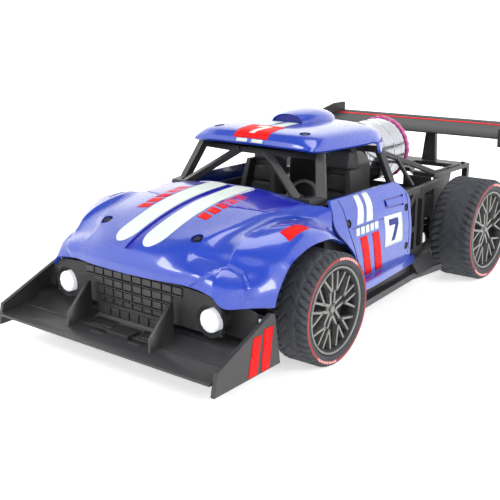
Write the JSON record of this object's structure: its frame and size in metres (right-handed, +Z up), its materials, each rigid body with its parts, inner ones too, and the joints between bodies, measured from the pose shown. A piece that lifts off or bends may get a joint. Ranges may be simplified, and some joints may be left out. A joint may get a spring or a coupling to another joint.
{
  "type": "remote control car",
  "caption": "Remote control drift car with steered front wheels, geared rear axle, roll cage, rear wing and a spray nozzle behind the open cab.",
  "frame": {"origin": "on the ground, under the middle of the car's outer box", "axes": "+Y towards the tail, -Y towards the nose, +X towards the car's left side, +Z up"},
  "size_m": [0.171, 0.3452, 0.1175],
  "materials": {
    "body_blue": "glossy moulded",
    "trim_black": "fine satin texture",
    "seat_black": "matt texture",
    "tyre_rubber": "moulded soft tread",
    "rim_gunmetal": "gunmetal paint",
    "lamp_lens": "clear lens over white lamps",
    "nozzle_plated": "bright plating",
    "light_ring": "translucent tinted",
    "bright_steel": "turned",
    "nylon_white": "natural moulded",
    "board_green": "solder mask",
    "battery_wrap": "shrink wrap",
    "switch_white": "plain moulded"
  },
  "bodies": {
    "chassis": {"chassis_tray": "trim_black", "running_board_left": "trim_black", "running_board_right": "trim_black", "rear_bumper": "trim_black", "front_splitter": "trim_black", "splitter_endplate_left": "trim_black", "splitter_endplate_right": "trim_black", "front_grille": "trim_black", "front_bumper": "trim_black", "headlight_lens_left": "lamp_lens", "headlight_lens_right": "lamp_lens", "hood_shell": "body_blue", "roof_panel": "body_blue", "door_panel_left": "body_blue", "door_panel_right": "body_blue", "cabin_tub": "trim_black", "dashboard": "trim_black", "windscreen_frame": "trim_black", "rear_cage": "trim_black", "seat_left": "seat_black", "seat_right": "seat_black", "steering_wheel": "trim_black", "side_truss_left": "trim_black", "side_truss_right": "trim_black", "rear_deck": "trim_black", "rear_side_plate_left": "trim_black", "rear_side_plate_right": "trim_black", "wing_pylon_left": "trim_black", "wing_pylon_right": "trim_black", "rear_wing": "trim_black", "spray_tank": "trim_black", "spray_nozzle": "nozzle_plated", "nozzle_light_ring": "light_ring", "front_subframe": "trim_black", "steering_servo": "trim_black", "gearbox_case": "trim_black", "gearbox_cover": "trim_black", "drive_motor": "bright_steel", "circuit_board": "board_green", "battery_pack": "battery_wrap", "switch_housing": "trim_black"},
    "knuckle_left": {"knuckle_left": "trim_black"},
    "knuckle_right": {"knuckle_right": "trim_black"},
    "wheel_front_left": {"rim_front_left": "rim_gunmetal", "tyre_front_left": "tyre_rubber"},
    "wheel_front_right": {"rim_front_right": "rim_gunmetal", "tyre_front_right": "tyre_rubber"},
    "tie_rod": {"tie_rod": "bright_steel"},
    "servo_horn": {"servo_horn": "nylon_white"},
    "rear_axle": {"rear_axle": "bright_steel", "axle_gear": "nylon_white", "rim_rear_left": "rim_gunmetal", "tyre_rear_left": "tyre_rubber", "rim_rear_right": "rim_gunmetal", "tyre_rear_right": "tyre_rubber"},
    "motor_pinion": {"motor_pinion": "nylon_white"},
    "tank_plug": {"tank_plug": "trim_black"},
    "battery_cover": {"battery_cover": "trim_black"},
    "power_switch": {"power_switch": "switch_white"}
  },
  "joints": [
    {"name": "steer_left", "type": "hinge", "parent": "chassis", "child": "knuckle_left", "pos_m": [0.065, -0.086, 0.02945], "axis": [0, 0, 1], "range_deg": [-18, 18]},
    {"name": "steer_right", "type": "hinge", "parent": "chassis", "child": "knuckle_right", "pos_m": [-0.065, -0.086, 0.02945], "axis": [0, 0, 1], "range_deg": [-18, 18]},
    {"name": "tie_rod_slide", "type": "slide", "parent": "chassis", "child": "tie_rod", "axis": [1, 0, 0], "range_m": [-0.004, 0.004]},
    {"name": "servo_horn_turn", "type": "hinge", "parent": "chassis", "child": "servo_horn", "pos_m": [0, -0.062, 0.034], "axis": [0, 0, 1], "range_deg": [-19, 19]},
    {"name": "front_left_spin", "type": "hinge", "parent": "knuckle_left", "child": "wheel_front_left", "pos_m": [0.07415, -0.086, 0.02945], "axis": [1, 0, 0], "continuous": true},
    {"name": "front_right_spin", "type": "hinge", "parent": "knuckle_right", "child": "wheel_front_right", "pos_m": [-0.07415, -0.086, 0.02945], "axis": [1, 0, 0], "continuous": true},
    {"name": "rear_axle_spin", "type": "hinge", "parent": "chassis", "child": "rear_axle", "pos_m": [0, 0.1033, 0.03356], "axis": [1, 0, 0], "continuous": true},
    {"name": "motor_spin", "type": "hinge", "parent": "chassis", "child": "motor_pinion", "pos_m": [-0.015, 0.0858, 0.03356], "axis": [1, 0, 0], "continuous": true},
    {"name": "tank_plug_pull", "type": "slide", "parent": "chassis", "child": "tank_plug", "axis": [0, 0, 1], "range_m": [0, 0.008]},
    {"name": "battery_cover_drop", "type": "slide", "parent": "chassis", "child": "battery_cover", "axis": [0, 0, -1], "range_m": [0, 0.005]},
    {"name": "power_switch_slide", "type": "slide", "parent": "chassis", "child": "power_switch", "axis": [0, 1, 0], "range_m": [0, 0.002]}
  ],
  "couplings": [
    {"joint": "steer_right", "follows": "steer_left", "ratio": 1},
    {"joint": "tie_rod_slide", "follows": "steer_left", "m_per_rad": -0.012},
    {"joint": "servo_horn_turn", "follows": "steer_left", "ratio": -1},
    {"joint": "motor_spin", "follows": "rear_axle_spin", "ratio": -4}
  ]
}
